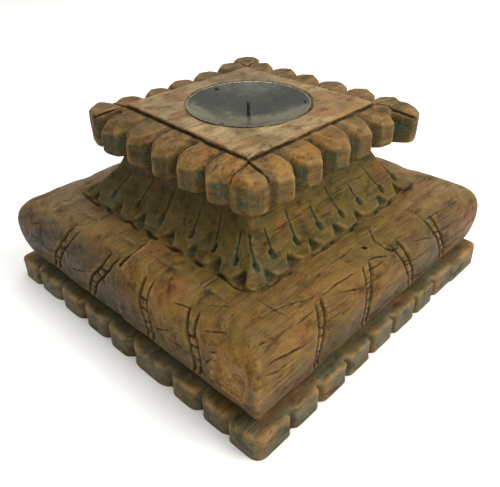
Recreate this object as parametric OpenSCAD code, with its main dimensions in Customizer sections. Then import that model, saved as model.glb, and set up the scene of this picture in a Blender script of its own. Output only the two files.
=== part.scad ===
// Carved pricket candle stand in the form of a square column base.
// Two timber half blocks are glued and dowelled in the plane x = 0, and carved as one block.
// A sheet-iron dish with a spike is let into the top and nailed down.
// Frame: millimetres, +Z up, origin at the centre of the underside, sides parallel to X and Y,
// grain along Y.

/* [Plinth] */
// Width of the toothed plinth across flats
plinth_w = 259; // [230:1:312]
// Height of the plinth teeth
plinth_h = 17; // [12:1:25]
// Width of the vee cut between two teeth, at its mouth
tooth_vee_w = 8; // [4:0.5:12]
// Depth of the vee cut between two teeth
tooth_vee_d = 5; // [2:0.5:8]

/* [Undercut] */
// Width of the block in the undercut between plinth and cushion
undercut_w = 228; // [205:1:240]
// Height of the undercut
undercut_h = 5; // [3:0.5:10]

/* [Cushion] */
// Width of the cushion at its widest
cushion_w = 250.6; // [230:0.2:302]
// Height of the cushion, from the undercut to its flat top
cushion_h = 49; // [40:1:65]
// Height of the widest line above the cushion's lower edge
cushion_belly_h = 22; // [15:1:30]
// How far the lower edge draws in from the widest line
cushion_tuck = 4.3; // [1:0.1:8]
// How far the rounded upper edge reaches in from the widest line
cushion_shoulder = 24; // [15:1:30]
// Squareness of the rounded upper edge, 2 is an ellipse
shoulder_power = 2.5; // [2:0.1:3.5]
// Distance between the two grooves of one band
band_w = 7; // [4:0.5:12]
// Width of one band groove
band_groove_w = 1.8; // [1:0.1:3]
// Depth of one band groove
band_groove_d = 1.5; // [0.5:0.1:3]

/* [Neck] */
// Width of the neck's petalled foot
neck_foot_w = 175; // [160:1:190]
// Width of the neck at its top
neck_top_w = 124; // [112:1:140]
// Height of the neck, from the cushion's top to the bead tier
neck_h = 36; // [28:1:50]
// Height of the upright edge of the petals
petal_edge_h = 3; // [1:0.5:6]
// Hollowness of the flare, 1 is a straight slope
flare_power = 1.85; // [1.2:0.05:2.5]
// Width of the notch between two petals, at its mouth
petal_notch_w = 11; // [6:0.5:16]
// Depth of the notch between two petals
petal_notch_d = 9; // [4:0.5:12]
// Radius of the gouged dot on each petal
petal_dot_r = 2.4; // [1.5:0.1:4]

/* [Bead tier] */
// Width of the tier over the tips of the beads
bead_tier_w = 168; // [150:1:190]
// Height of the bead tier at its root
bead_tier_h = 24; // [18:1:34]
// Width of the vee cut between two beads, at its mouth
bead_vee_w = 10; // [6:0.5:14]
// Length that a corner bead is short of a sharp corner, along each side
corner_short = 10; // [4:0.5:16]
// How far the hand-cut top sits off centre, along X
top_shift_x = -4.5; // [-6:0.5:6]
// How far the hand-cut top sits off centre, along Y
top_shift_y = 6.5; // [-7:0.5:7]

/* [Top panel] */
// Width of the square top panel
panel_w = 121; // [100:1:126]
// Rise of the panel above the channel that frames it
panel_h = 4.5; // [3:0.5:8]
// Width of the channel that frames the panel
channel_w = 2; // [1:0.5:4]

/* [Dish] */
// Radius of the iron dish
dish_r = 43; // [30:0.1:52]
// Depth of the dish inside
dish_depth = 9.5; // [6:0.5:14]
// Thickness of the dish's sheet iron
dish_sheet = 1; // [0.6:0.1:2]
// Gap round the rim, between dish and wood
dish_gap = 0.8; // [0.3:0.1:2]

/* [Spike] */
// Height of the spike's point above the rim of the dish
spike_rise = 0.5; // [0:0.5:40]
// Radius of the spike
spike_r = 1.3; // [1:0.1:3]
// Radius of the spike's head, trapped under the dish
spike_head_r = 3.5; // [2.5:0.1:6]
// Thickness of the spike's head
spike_head_h = 1.4; // [1:0.1:3]

/* [Nails] */
// Radius of a dish nail's shank
nail_r = 0.9; // [0.6:0.1:1.5]
// Radius of a dish nail's head
nail_head_r = 1.8; // [1.2:0.1:3]
// Thickness of a dish nail's head
nail_head_h = 0.6; // [0.4:0.1:1.2]
// Length of a dish nail's shank
nail_len = 15; // [10:1:20]
// Distance from the edge of the dish in to a nail
nail_inset = 3.2; // [2.5:0.1:6]

/* [Seam dowels] */
// Radius of a dowel across the seam
dowel_r = 6; // [4:0.5:8]
// Length of a dowel
dowel_len = 80; // [50:1:100]
// Distance of each dowel from the middle of the seam
dowel_reach = 74; // [55:1:85]
// Glue space round a dowel and past its ends
dowel_gap = 0.2; // [0.1:0.1:0.5]

/* [Hidden] */

$fn = 64;
over = 1;

// The vee cuts and bands were set out by eye, so each face has its own places, from its middle.
// The faces run left (-X), front (-Y), right (+X), back (+Y), each seen from outside, left to right.
// The places were laid out on tiers of these widths, and keep their share of a tier's width.
drawn_plinth_w = 259;
drawn_cushion_w = 250.6;
drawn_foot_w = 175;
drawn_tier_w = 168;
tooth_vees = [[-102, -76, -48, -19, 8, 36, 63, 92], [-106, -73, -43, -13, 13, 52, 79, 105],
              [-101, -75, -47, -20, 6, 35, 61, 90], [-99, -71, -45, -17, 11, 37, 66, 95]];
bands = [[-68, -22, 24, 66], [-70, -27, 28, 71], [-65, -19, 25, 65], [-69, -24, 22, 67]];
petal_notches = [[-70, -46, -22, 1, 24, 48, 71], [-70, -44, -20, 10, 32, 53, 74],
                 [-71, -50, -28, -4, 19, 45, 67], [-72, -47, -23, 0, 23, 46, 70]];
bead_vees = [[-68, -41.5, -14.5, 10, 34.5, 61], [-70.5, -43, -16, 9, 34, 60],
             [-61.5, -34, -7, 19.5, 45, 70.5], [-55, -30, -5, 18.5, 42, 67]];
nail_angles = [170, 48, 288];

// Heights of the tiers
undercut_z = plinth_h;
cushion_z = undercut_z + undercut_h;
neck_z = cushion_z + cushion_h;
bead_z = neck_z + neck_h;
bead_top_z = bead_z + bead_tier_h;
top_z = bead_top_z + panel_h;

belly_half = cushion_w / 2;
belly_z = cushion_z + cushion_belly_h;
foot_half = neck_foot_w / 2;
root_half = neck_top_w / 2;
tip_half = bead_tier_w / 2;
frame_half = panel_w / 2 + channel_w;
bead_vee_d = tip_half - frame_half - over;
corner_root = frame_half - 5;
top_shift = [top_shift_x, top_shift_y, 0];

// The dish is a shallow cap of a sphere, and rim_z is the top of its rim.
rim_z = top_z;
dish_sphere_r = (dish_r * dish_r + dish_depth * dish_depth) / (2 * dish_depth);
dish_floor_z = rim_z - dish_depth;
spike_len = dish_depth + spike_rise + dish_sheet + spike_head_h;

// Height of the dish's upper surface at radius r
function dish_z(r) = dish_floor_z + dish_sphere_r - sqrt(dish_sphere_r * dish_sphere_r - r * r);

// Half width of the cushion's rounded upper edge, t from 0 at the belly to 1 at the top
function shoulder_point(t) =
    let (rise = neck_z - belly_z, a = 90 * t)
    [belly_half - cushion_shoulder * (1 - pow(cos(a), 2 / shoulder_power)),
     belly_z + rise * pow(sin(a), 2 / shoulder_power)];

// Half width of the cushion's lower edge, t from 0 at the undercut to 1 at the belly
function tuck_point(t) =
    [belly_half - cushion_tuck * (1 - t) * (1 - t), cushion_z + cushion_belly_h * t];

// Half width of the neck's hollow flare, t from 0 at the petals' edge to 1 at the bead tier
function flare_point(t) =
    let (foot = neck_z + petal_edge_h, top = bead_z)
    [root_half + (foot_half - over - root_half) * pow(1 - t, flare_power), foot + (top - foot) * t];

cushion_outline = concat([for (i = [0:4]) tuck_point(i / 5)],
                         [for (i = [0:12]) shoulder_point(i / 12)]);
neck_outline = concat([[foot_half, neck_z - over], [foot_half, neck_z + petal_edge_h]],
                      [for (i = [1:12]) flare_point(i / 12)], [[root_half, bead_z + over]]);
bead_outline = [[root_half - over, bead_z], [root_half + 9, bead_z], [tip_half - 2.5, bead_z + 4],
                [tip_half, bead_z + 9], [tip_half, bead_z + 15], [tip_half - 4, bead_z + 20],
                [frame_half + 6, bead_top_z - 1.5], [frame_half, bead_top_z], [root_half - over, bead_top_z]];

// A square tier whose four faces follow one outline of [half width, height] points,
// with mitred corners.
module square_tier(outline) {
    closed = concat(outline, [for (i = [len(outline) - 1:-1:0]) [-outline[i][0], outline[i][1]]]);
    reach = 2 * max([for (p = outline) p[0]]) + 2 * over;
    intersection() {
        rotate([90, 0, 0]) linear_extrude(reach, center = true) polygon(closed);
        rotate([90, 0, 90]) linear_extrude(reach, center = true) polygon(closed);
    }
}

// Turns what is drawn on the right face onto one face: 0 left, 1 front, 2 right, 3 back.
// On the right face, +X points out of the block and +Y runs left to right.
module on_face(face) {
    rotate([0, 0, 90 * (face - 2)]) children();
}

// An upright vee cut, with its point depth inside half width face_half, and lean to one side
module vee_cut(face_half, width, depth, z_low, z_high, lean = 0) {
    spread = width * (depth + over) / depth / 2;
    translate([0, 0, z_low]) linear_extrude(z_high - z_low)
        polygon([[face_half - depth, lean], [face_half + over, -spread], [face_half + over, spread]]);
}

module plinth() {
    difference() {
        translate([-plinth_w / 2, -plinth_w / 2, 0]) cube([plinth_w, plinth_w, plinth_h]);
        for (face = [0:3], y = tooth_vees[face])
            on_face(face) translate([0, y * plinth_w / drawn_plinth_w, 0])
                vee_cut(plinth_w / 2, tooth_vee_w, tooth_vee_d, -over, plinth_h + over);
    }
}

// One groove of a band, which follows the cushion's outline at a constant depth
module band_groove() {
    floor_line = [for (p = cushion_outline) [p[0] - band_groove_d, p[1] - band_groove_d * 0.5]];
    far = belly_half + over;
    rotate([90, 0, 0]) linear_extrude(band_groove_w, center = true)
        polygon(concat([[far, cushion_z - over]], [[floor_line[0][0], cushion_z - over]], floor_line,
                       [[belly_half - cushion_shoulder - band_groove_d, neck_z + over], [far, neck_z + over]]));
}

module cushion() {
    difference() {
        square_tier(cushion_outline);
        for (face = [0:3], y = bands[face], side = [-1, 1])
            on_face(face)
                translate([0, y * cushion_w / drawn_cushion_w + side * band_w / 2, 0]) band_groove();
    }
}

// A round gouge mark in the middle of the petal between two notches
module petal_dot(y) {
    spot = flare_point(0.16);
    translate([spot[0] + petal_dot_r * 0.3, y, spot[1] + petal_dot_r * 0.3]) sphere(petal_dot_r, $fn = 24);
}

module neck() {
    difference() {
        square_tier(neck_outline);
        for (face = [0:3]) on_face(face) {
            places = petal_notches[face] * neck_foot_w / drawn_foot_w;
            for (y = places) translate([0, y, 0])
                vee_cut(foot_half, petal_notch_w, petal_notch_d, neck_z, bead_z);
            for (i = [0:len(places) - 2]) petal_dot((places[i] + places[i + 1]) / 2);
        }
    }
}

// What is left of the bead tier in plan, with each corner bead cut back to a blunt ridge
module corner_ridges() {
    side = tip_half - corner_short * 1.6;
    ridge = tip_half - corner_short;
    flank = tip_half - corner_short * 0.5;
    corner = [[tip_half + over, side], [flank, side + over], [ridge, ridge], [side + over, flank],
              [side, tip_half + over]];
    translate([0, 0, bead_z - over]) linear_extrude(bead_tier_h + 2 * over)
        polygon([for (turn = [0:3], p = corner) let (a = 90 * turn)
            [p[0] * cos(a) - p[1] * sin(a), p[0] * sin(a) + p[1] * cos(a)]]);
}

module bead_tier() {
    difference() {
        intersection() {
            square_tier(bead_outline);
            corner_ridges();
        }
        // the vees next to a corner lean in, so that they don't cut the corner bead off
        for (face = [0:3], place = bead_vees[face])
            let (y = place * bead_tier_w / drawn_tier_w, point_y = max(-corner_root, min(corner_root, y)))
            on_face(face) translate([0, y, 0])
                vee_cut(tip_half, bead_vee_w, bead_vee_d, bead_z - over, bead_top_z + over, point_y - y);
        // the channel that frames the panel
        translate([0, 0, bead_top_z - over]) linear_extrude(2 * over) difference() {
            square(2 * frame_half, center = true);
            square(panel_w, center = true);
        }
    }
}

module top_panel() {
    translate([-panel_w / 2, -panel_w / 2, bead_top_z - over]) cube([panel_w, panel_w, panel_h + over]);
}

// The hollow turned for the dish, with the pocket for the spike's head
module dish_seat() {
    steps = 12;
    rotate_extrude() polygon(concat(
        [[0, dish_floor_z - dish_sheet]],
        [for (i = [1:steps]) let (r = dish_r * i / steps) [r, dish_z(r) - dish_sheet]],
        [[dish_r + dish_gap, rim_z - dish_sheet], [dish_r + dish_gap, rim_z + over], [0, rim_z + over]]));
    translate([0, 0, dish_floor_z - dish_sheet - spike_head_h])
        cylinder(r = spike_head_r, h = spike_head_h + over);
}

// Places a nail's own frame, its head's underside at z = 0, at one of the three fixings
module at_nail(index) {
    r = dish_r - nail_inset;
    translate(top_shift) rotate([0, 0, nail_angles[index]]) translate([r, 0, dish_z(r)]) children();
}

module seam_dowel_place(side) {
    translate([0, side * dowel_reach, belly_z]) rotate([0, 90, 0]) children();
}

module carved_block() {
    difference() {
        union() {
            plinth();
            translate([-undercut_w / 2, -undercut_w / 2, undercut_z - over])
                cube([undercut_w, undercut_w, undercut_h + 2 * over]);
            cushion();
            neck();
            translate(top_shift) {
                bead_tier();
                top_panel();
            }
        }
        translate(top_shift) dish_seat();
        for (i = [0:2]) at_nail(i) translate([0, 0, -nail_len]) cylinder(r = nail_r, h = nail_len);
        for (side = [-1, 1]) seam_dowel_place(side)
            cylinder(r = dowel_r + dowel_gap, h = dowel_len + 2 * dowel_gap, center = true);
    }
}

// One half of the block, side -1 for -X and 1 for +X
module half_block(side) {
    reach = plinth_w + 2 * over;
    intersection() {
        carved_block();
        translate([side > 0 ? 0 : -reach, -reach / 2, -over]) cube([reach, reach, top_z + 2 * over]);
    }
}

module left_half_block() { color("peru") half_block(-1); }

module right_half_block() { color("darkgoldenrod") half_block(1); }

module seam_dowel(side) {
    color("tan") seam_dowel_place(side) cylinder(r = dowel_r, h = dowel_len, center = true);
}

module dish() {
    steps = 12;
    inside = [for (i = [1:steps]) let (r = dish_r * i / steps) [r, dish_z(r)]];
    under = [for (i = [steps:-1:1]) let (r = dish_r * i / steps) [r, dish_z(r) - dish_sheet]];
    color("dimgray") difference() {
        translate(top_shift) difference() {
            rotate_extrude()
                polygon(concat([[0, dish_floor_z]], inside, under, [[0, dish_floor_z - dish_sheet]]));
            translate([0, 0, dish_floor_z - dish_sheet - over]) cylinder(r = spike_r, h = dish_sheet + 2 * over);
        }
        for (i = [0:2]) at_nail(i) {
            translate([0, 0, -nail_head_h]) cylinder(r = nail_head_r, h = 4 * nail_head_h);
            translate([0, 0, -2 * over - dish_sheet]) cylinder(r = nail_r, h = dish_sheet + 3 * over);
        }
    }
}

module spike() {
    point_len = 5 * spike_r;
    foot = [0, 0, dish_floor_z - dish_sheet - spike_head_h];
    color("black") translate(top_shift + foot) rotate_extrude() polygon([
        [0, 0], [spike_head_r, 0], [spike_head_r, spike_head_h], [spike_r, spike_head_h],
        [spike_r, spike_len - point_len], [spike_r * 0.15, spike_len], [0, spike_len]]);
}

module dish_nail(index) {
    color("saddlebrown") at_nail(index) rotate_extrude() polygon([
        [0, -nail_len + nail_r], [nail_r * 0.4, -nail_len + nail_r], [nail_r, -nail_len + 4 * nail_r],
        [nail_r, 0], [nail_head_r, 0], [nail_head_r, nail_head_h], [0, nail_head_h]]);
}

left_half_block();
right_half_block();
seam_dowel(-1);  // front_seam_dowel
seam_dowel(1);  // back_seam_dowel
dish();
spike();
dish_nail(0);  // dish_nail_1
dish_nail(1);  // dish_nail_2
dish_nail(2);  // dish_nail_3
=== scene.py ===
"""A carved candle stand in the form of a square column base.

Two half baulks of old timber are glued and dowelled side by side, and carved as one block: a toothed
plinth, a bulging cushion with strap bands, a flared neck with petals, a tier of finger beads and a
square panel. A sheet-iron dish with a spike is let into the panel and nailed down.
"""
import math
import random

import bpy
import numpy as np
from mathutils import Matrix, Vector, noise
from mathutils.bvhtree import BVHTree


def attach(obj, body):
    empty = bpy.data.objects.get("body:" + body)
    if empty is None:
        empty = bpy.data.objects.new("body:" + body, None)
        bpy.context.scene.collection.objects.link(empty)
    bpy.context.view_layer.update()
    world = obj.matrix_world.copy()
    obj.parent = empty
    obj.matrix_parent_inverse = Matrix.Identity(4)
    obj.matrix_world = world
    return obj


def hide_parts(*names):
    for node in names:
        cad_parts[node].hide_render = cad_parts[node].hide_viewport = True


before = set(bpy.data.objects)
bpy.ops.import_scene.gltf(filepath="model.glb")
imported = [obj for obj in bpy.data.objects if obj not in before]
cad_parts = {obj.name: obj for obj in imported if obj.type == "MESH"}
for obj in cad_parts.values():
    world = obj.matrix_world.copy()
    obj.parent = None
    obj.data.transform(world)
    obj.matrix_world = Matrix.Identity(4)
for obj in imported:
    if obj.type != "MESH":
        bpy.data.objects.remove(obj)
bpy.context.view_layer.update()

# ---- The rough block: tiers -------------------------------------------------------------------
# The two glued baulks are first sawn and chopped to stacked square tiers: plinth core, undercut,
# cushion, neck, bead tier and panel. Each tier is raised ring by ring from a square sheet.
MM = 0.001
PLINTH_TOP = 17
CUSHION_FOOT = 22
BELLY = 44
CUSHION_TOP = 71
PETAL_EDGE = 3
BEAD_FOOT = 107
BEAD_TOP = 131
PANEL_TOP = 135.4
BELOW = -4          # the rough block hangs below the table plane, and is sawn off level later
PLINTH_CORE = 120.5
UNDERCUT = 114
BELLY_HALF = 125.3
SHOULDER_REACH = 24
SHOULDER_POWER = 0.8
TUCK = 4.3
NECK_FOOT = 87.5
NECK_ROOT = 62
FLARE_POWER = 1.85
TOP_SHIFT = Vector((-4.5, 6.5, 0))      # the hand-cut top sits off centre


def only_select(piece):
    bpy.ops.object.select_all(action="DESELECT")
    piece.select_set(True)
    bpy.context.view_layer.objects.active = piece


def settle(piece):
    """Puts the object's place, turn and scale into its mesh."""
    only_select(piece)
    bpy.ops.object.transform_apply(location=True, rotation=True, scale=True)


def raise_tier(name, outline):
    """A square tier raised through [half width, height] points, in millimetres."""
    bpy.ops.object.select_all(action="DESELECT")
    half, height = outline[0]
    bpy.ops.mesh.primitive_plane_add(size=2 * half * MM, location=(0, 0, height * MM))
    tier = bpy.context.object
    tier.name = name
    settle(tier)
    bpy.ops.object.mode_set(mode="EDIT")
    bpy.ops.mesh.select_all(action="SELECT")
    for next_half, next_height in outline[1:]:
        lift = (0, 0, (next_height - height) * MM)
        bpy.ops.mesh.extrude_region_move(TRANSFORM_OT_translate={"value": lift})
        spread = next_half / half
        bpy.ops.transform.resize(value=(spread, spread, 1), center_override=(0, 0, next_height * MM))
        half, height = next_half, next_height
    bpy.ops.mesh.select_all(action="SELECT")
    bpy.ops.mesh.normals_make_consistent(inside=False)
    bpy.ops.object.mode_set(mode="OBJECT")
    return tier


def bevel_edges(piece, pick, width, segments):
    """Bevels the edges whose middle and direction satisfy pick, as in edit mode."""
    only_select(piece)
    bpy.ops.object.mode_set(mode="EDIT")
    bpy.ops.mesh.select_mode(type="EDGE")
    bpy.ops.mesh.select_all(action="DESELECT")
    bpy.ops.object.mode_set(mode="OBJECT")
    for edge in piece.data.edges:
        a, b = (piece.data.vertices[i].co for i in edge.vertices)
        edge.select = pick((a + b) / 2 / MM, (b - a).normalized())
    bpy.ops.object.mode_set(mode="EDIT")
    bpy.ops.mesh.bevel(offset=width * MM, segments=segments, profile=0.5, affect="EDGES")
    bpy.ops.object.mode_set(mode="OBJECT")


def shoulder_point(t):
    """The cushion's rounded upper edge, a squarish quarter round: t 0 at the belly, 1 at the top."""
    turn = math.pi / 2 * t
    return (BELLY_HALF - SHOULDER_REACH * (1 - math.cos(turn) ** SHOULDER_POWER),
            BELLY + (CUSHION_TOP - BELLY) * math.sin(turn) ** SHOULDER_POWER)


def tuck_point(t):
    """The cushion's lower edge: t 0 at the undercut, 1 at the belly."""
    return (BELLY_HALF - TUCK * (1 - t) ** 2, CUSHION_FOOT + (BELLY - CUSHION_FOOT) * t)


def flare_half(height):
    """Half the neck's width, which flares out towards its foot."""
    t = (height - CUSHION_TOP - PETAL_EDGE) / (BEAD_FOOT - CUSHION_TOP - PETAL_EDGE)
    return NECK_ROOT + (NECK_FOOT - 1 - NECK_ROOT) * (1 - min(max(t, 0), 1)) ** FLARE_POWER


cushion_outline = [tuck_point(i / 6) for i in range(6)] + [shoulder_point(i / 14) for i in range(15)]
cushion_outline += [(95, CUSHION_TOP + 0.3)]
flare_heights = [CUSHION_TOP + PETAL_EDGE + 3 * i for i in range(12)]
neck_outline = [(NECK_FOOT, CUSHION_TOP - 3), (NECK_FOOT, CUSHION_TOP + PETAL_EDGE)]
neck_outline += [(flare_half(z), z) for z in flare_heights[1:]]

plinth = raise_tier("plinth", [(PLINTH_CORE, BELOW), (PLINTH_CORE, PLINTH_TOP - 2),
                               (PLINTH_CORE - 1, PLINTH_TOP - 0.5)])
undercut = raise_tier("undercut", [(UNDERCUT, BELOW + 1), (UNDERCUT, CUSHION_FOOT + 2)])
cushion = raise_tier("cushion", cushion_outline)
neck = raise_tier("neck", neck_outline)


def up_a_corner(mid, way):
    """True of an edge that runs up one of a tier's four corners."""
    return abs(abs(mid.x) - abs(mid.y)) < 0.01 and abs(abs(way.x) - abs(way.y)) < 0.01


# the corners are rubbed round
for tier, wear in ((cushion, 2.2), (neck, 2)):
    bevel_edges(tier, up_a_corner, wear, 2)
bead_core = raise_tier("bead_core", [(NECK_ROOT - 2, BEAD_FOOT - 4), (NECK_ROOT, BEAD_FOOT + 2),
                                     (NECK_ROOT, BEAD_TOP)])
bead_core.location = TOP_SHIFT * MM
settle(bead_core)

# The panel was cut by eye, so no two of its sides are quite parallel.
panel_corners = [(-67.5, -49.8), (54.8, -55.6), (59, 62.8), (-60.5, 62.5)]
panel = raise_tier("panel", [(60, BEAD_TOP - 6), (60, PANEL_TOP)])
for vertex in panel.data.vertices:
    x, y = min(panel_corners, key=lambda c: (c[0] * MM - vertex.co.x) ** 2 + (c[1] * MM - vertex.co.y) ** 2)
    vertex.co.x, vertex.co.y = x * MM, y * MM

# ---- Plinth teeth -----------------------------------------------------------------------------
# The plinth's edge is chopped into blunt teeth by vee cuts. On the end-grain faces, front and back,
# the chisel rounded them to lobes; on the long-grain faces they are flat with one chamfered end.
PLINTH_HALF = 129.2
TOOTH_REACH = 12
TOOTH_WIDTH = 26    # of the tooth that the others are copied from
TOOTH_GAP = 0.7
TOOTH_ROUND = 6.5   # how far the chisel rounded an end-grain tooth
tooth_vees = {
    "left": [-102, -76, -48, -19, 8, 36, 63, 92],
    "front": [-106, -73, -43, -13, 13, 52, 79, 105],
    "right": [-101, -75, -47, -20, 6, 35, 61, 90],
    "back": [-99, -71, -45, -17, 11, 37, 66, 95],
}
# Turn of each face about Z. A face is drawn as the right one: X out of the block, Y left to right.
FACE_TURN = {"left": math.pi, "front": -math.pi / 2, "right": 0, "back": math.pi / 2}


def put_on_face(piece, face, out, along, height=0.0):
    """Moves a piece drawn about the origin to its place on one face, in millimetres."""
    piece.matrix_world = (Matrix.Rotation(FACE_TURN[face], 4, "Z")
                          @ Matrix.Translation(Vector((out, along, height)) * MM) @ piece.matrix_world)
    settle(piece)


def copy_of(master, name):
    piece = master.copy()
    piece.data = master.data.copy()
    piece.name = name
    bpy.context.collection.objects.link(piece)
    return piece


def block_of(name, length, width, low, high):
    """A block from x = -length to 0, y centred, z from low to high, in millimetres."""
    bpy.ops.object.select_all(action="DESELECT")
    bpy.ops.mesh.primitive_cube_add(size=MM, location=(-length / 2 * MM, 0, (low + high) / 2 * MM))
    block = bpy.context.object
    block.name = name
    block.scale = (length, width, high - low)
    settle(block)
    return block


def is_upright(way):
    return abs(way.z) > 0.9


def is_level(way):
    return abs(way.z) < 0.1


lobe_tooth = block_of("lobe_tooth", TOOTH_REACH, TOOTH_WIDTH, BELOW, PLINTH_TOP)
bevel_edges(lobe_tooth, lambda mid, way: mid.x > -1 and is_upright(way), TOOTH_ROUND, 4)
bevel_edges(lobe_tooth, lambda mid, way: mid.x > -9 and mid.z > PLINTH_TOP - 0.1 and is_level(way), 1.6, 2)
flat_tooth = block_of("flat_tooth", TOOTH_REACH, TOOTH_WIDTH, BELOW, PLINTH_TOP)
bevel_edges(flat_tooth, lambda mid, way: mid.x > -1 and mid.y < -12 and is_upright(way), 5, 1)
bevel_edges(flat_tooth, lambda mid, way: mid.x > -6 and mid.z > PLINTH_TOP - 0.1 and is_level(way), 0.8, 1)

chance = random.Random(7)
rough = [plinth, undercut, cushion, neck, bead_core, panel]
for face, cuts in tooth_vees.items():
    master = lobe_tooth if face in ("front", "back") else flat_tooth
    for start, end in zip(cuts, cuts[1:]):
        tooth = copy_of(master, "tooth")
        tooth.scale.y = (end - start - TOOTH_GAP) / TOOTH_WIDTH
        settle(tooth)
        put_on_face(tooth, face, PLINTH_HALF - chance.uniform(0, 1.2), (start + end) / 2)
        rough.append(tooth)

# A corner tooth fills the corner between the last vee cuts of two faces.
for face, other in (("front", "right"), ("right", "back"), ("back", "left"), ("left", "front")):
    start = tooth_vees[face][-1] + TOOTH_GAP / 2
    end = tooth_vees[other][0] - TOOTH_GAP / 2
    corner = block_of("corner_tooth", PLINTH_HALF + end, PLINTH_HALF - start, BELOW, PLINTH_TOP)
    corner.location.y = (PLINTH_HALF + start) / 2 * MM
    corner.location.x = 0
    settle(corner)
    bevel_edges(corner, lambda mid, way: mid.x > -1 and mid.y > PLINTH_HALF - 1 and is_upright(way),
                TOOTH_ROUND, 3)
    bevel_edges(corner, lambda mid, way: mid.z > PLINTH_TOP - 0.1 and is_level(way), 1.4, 2)
    put_on_face(corner, face, PLINTH_HALF, 0)
    rough.append(corner)

# ---- Petal notches ----------------------------------------------------------------------------
# Upright vee cuts round the neck's foot part it into petals. They are cut with a three-sided
# gouge shape, driven straight down.
GOUGE_R = 12.5
GOUGE_STAND = 3.8   # how far outside the neck's foot the gouge's middle is held
petal_notches = {
    "left": [-70, -46, -22, 1, 24, 48, 71],
    "front": [-70, -44, -20, 10, 32, 53, 74],
    "right": [-71, -50, -28, -4, 19, 45, 67],
    "back": [-72, -47, -23, 0, 23, 46, 70],
}
bpy.ops.object.select_all(action="DESELECT")
bpy.ops.mesh.primitive_cylinder_add(vertices=3, radius=GOUGE_R * MM, depth=30 * MM, location=(0, 0, 0))
gouge = bpy.context.object
gouge.name = "gouge"
corner_angle = math.atan2(gouge.data.vertices[0].co.y, gouge.data.vertices[0].co.x)
gouge.rotation_euler.z = math.pi - corner_angle
settle(gouge)
cutters = []
for face, places in petal_notches.items():
    for along in places:
        cutter = copy_of(gouge, "notch_cutter")
        cutter.scale = (1, chance.uniform(0.85, 1.2), 1)
        settle(cutter)
        reach = NECK_FOOT + GOUGE_STAND + chance.uniform(-0.8, 0.8)
        put_on_face(cutter, face, reach, along + chance.uniform(-1, 1), CUSHION_TOP + 14)
        cutters.append(cutter)


def join_all(pieces, name):
    bpy.ops.object.select_all(action="DESELECT")
    for piece in pieces:
        piece.select_set(True)
    bpy.context.view_layer.objects.active = pieces[0]
    bpy.ops.object.join()
    bpy.context.object.name = name
    return bpy.context.object


def cut_away(piece, cutter, tangled=False):
    """Cuts one shape out of a piece. A tangled cutter is one whose own parts overlap."""
    only_select(piece)
    bpy.ops.object.modifier_add(type="BOOLEAN")
    cut = piece.modifiers[-1]
    cut.operation = "DIFFERENCE"
    cut.solver = "EXACT"
    cut.use_self = tangled
    cut.object = cutter
    bpy.ops.object.modifier_apply(modifier=cut.name)
    bpy.data.objects.remove(cutter)


cut_away(neck, join_all(cutters, "notch_cutters"), tangled=True)

# ---- Bead tier --------------------------------------------------------------------------------
# A row of finger beads hangs out all round the top. Each is a six-sided bud with its ridge
# outward, its top and bottom edges bevelled, and its top sloping down from the panel.
bead_vees = {
    "left": [-68, -41.5, -14.5, 10, 34.5, 61],
    "front": [-70.5, -43, -16, 9, 34, 60],
    "right": [-61.5, -34, -7, 19.5, 45, 70.5],
    "back": [-78, -55, -30, -5, 18.5, 42, 67],
}
BEAD_TIP = {"left": 84.5, "front": 84.5, "right": 82, "back": 84}
# How far a bead's root lies to the side of its tip: the two rows that meet in front fan out from there
BEAD_LEAN = {"left": 0, "front": 6.5, "right": -8, "back": 0}
BEAD_WIDTH = 21
BEAD_HEIGHT = 25
BEAD_MIDDLE = BEAD_FOOT + 13
BEAD_GAP = 2.2
BEAD_REACH = 26     # from a bead's root to its tip
CORNER_BEAD_WIDTH = 22
CORNER_ROOM = 1     # the rows stop short of their last vee, to make room for the corner beads
# How steeply a bead's top falls from its root to its tip
BEAD_SLOPE = {"left": 0.03, "front": 0.34, "right": 0.32, "back": 0.03}


def carve_bead(name, plan, height=BEAD_HEIGHT):
    """A bead about z = 0, its ridge at the origin. The plan gives [out, side] from the ridge inwards."""
    bpy.ops.object.select_all(action="DESELECT")
    bpy.ops.mesh.primitive_cylinder_add(vertices=8, radius=10 * MM, depth=height * MM,
                                        location=(0, 0, (BEAD_HEIGHT - height) / 2 * MM))
    bead = bpy.context.object
    bead.name = name
    bead.rotation_euler.z = -math.atan2(bead.data.vertices[0].co.y, bead.data.vertices[0].co.x)
    settle(bead)
    for vertex in bead.data.vertices:
        angle = math.atan2(vertex.co.y, vertex.co.x)
        out, side = plan[round(abs(angle) / (math.pi / 4))]
        vertex.co.x, vertex.co.y = out * MM, math.copysign(side, angle) * MM
    edge = BEAD_HEIGHT / 2 - 0.1
    bevel_edges(bead, lambda mid, way: mid.z < -edge and mid.x > -20 and is_level(way), 3.5, 2)
    bevel_edges(bead, lambda mid, way: mid.z > edge and mid.x > -20 and is_level(way), 3.2, 1)
    return bead


side_bead = carve_bead("side_bead", [(0, 0), (-6, 8.8), (-13, 10.6), (-25, 10.2), (-31, 0)])
corner_bead = carve_bead("corner_bead", [(0, 0), (-4, 8.5), (-8, 11.2), (-20, 6), (-40, 0)], height=27.5)


def add_bead(master, face, out, along, width, turn=0.0):
    """A copy of a bead with its top sloped as on this face, set a little askew as the carver did."""
    piece = copy_of(master, "bead")
    for vertex in piece.data.vertices:
        if vertex.co.z > 5 * MM:
            vertex.co.z += (1.1 - BEAD_SLOPE[face] * max(vertex.co.x / MM + 20, 0)) * MM
    piece.scale = (chance.uniform(0.96, 1.04), width / BEAD_WIDTH, chance.uniform(0.97, 1.03))
    piece.rotation_euler = (chance.uniform(-0.06, 0.06), chance.uniform(-0.03, 0.06),
                            turn + chance.uniform(-0.07, 0.07))
    settle(piece)
    put_on_face(piece, face, out, along, BEAD_MIDDLE)
    piece.location = TOP_SHIFT * MM
    settle(piece)
    rough.append(piece)


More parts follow.
